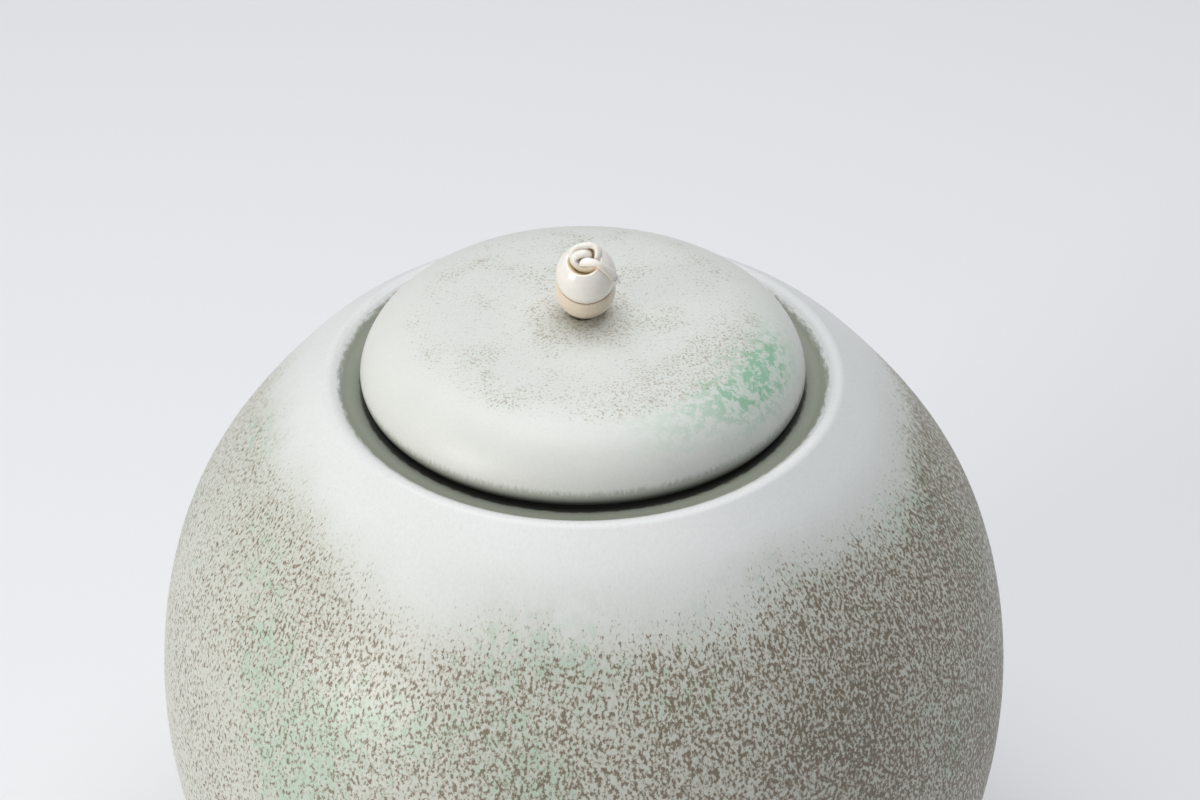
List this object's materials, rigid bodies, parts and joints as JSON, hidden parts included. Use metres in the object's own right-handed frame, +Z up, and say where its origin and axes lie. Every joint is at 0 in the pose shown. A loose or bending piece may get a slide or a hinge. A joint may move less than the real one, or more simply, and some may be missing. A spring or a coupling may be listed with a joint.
{
  "type": "lidded rice jar",
  "caption": "Round glazed stoneware jar for rice or dry goods, with a loose domed lid and a bead-and-ball knob tied on with a knotted lace.",
  "frame": {"origin": "centre of the foot ring's resting plane", "axes": "+Z up along the jar's axis, -Y towards the viewer, +X to the viewer's right"},
  "size_m": [0.2, 0.2, 0.2134],
  "materials": {
    "jar_glaze": "matte reactive glaze, pale celadon with brown specks",
    "lid_glaze": "matte reactive glaze, pale celadon with a green pool",
    "seat_bead_wood": "cream lacquer, satin",
    "ball_bead_lacquer": "ivory lacquer, gloss",
    "lace_hide": "undyed soft hide lace"
  },
  "bodies": {
    "jar": {"jar_body": "jar_glaze"},
    "knob_lace": {"lace": "lace_hide", "seat_bead": "seat_bead_wood"},
    "lid": {"lid": "lid_glaze"},
    "ball_bead": {"ball_bead": "ball_bead_lacquer"}
  },
  "joints": [
    {"name": "lid_lift", "type": "slide", "parent": "jar", "child": "knob_lace", "axis": [0, 0, 1], "range_m": [0, 0.06]},
    {"name": "lid_turn", "type": "hinge", "parent": "knob_lace", "child": "lid", "pos_m": [0, 0, 0.18], "axis": [0, 0, 1], "continuous": true},
    {"name": "ball_bead_turn", "type": "hinge", "parent": "knob_lace", "child": "ball_bead", "pos_m": [0.00076, -0.00288, 0.20607], "axis": [-0.0875, -0.4502, 0.8886], "continuous": true}
  ]
}
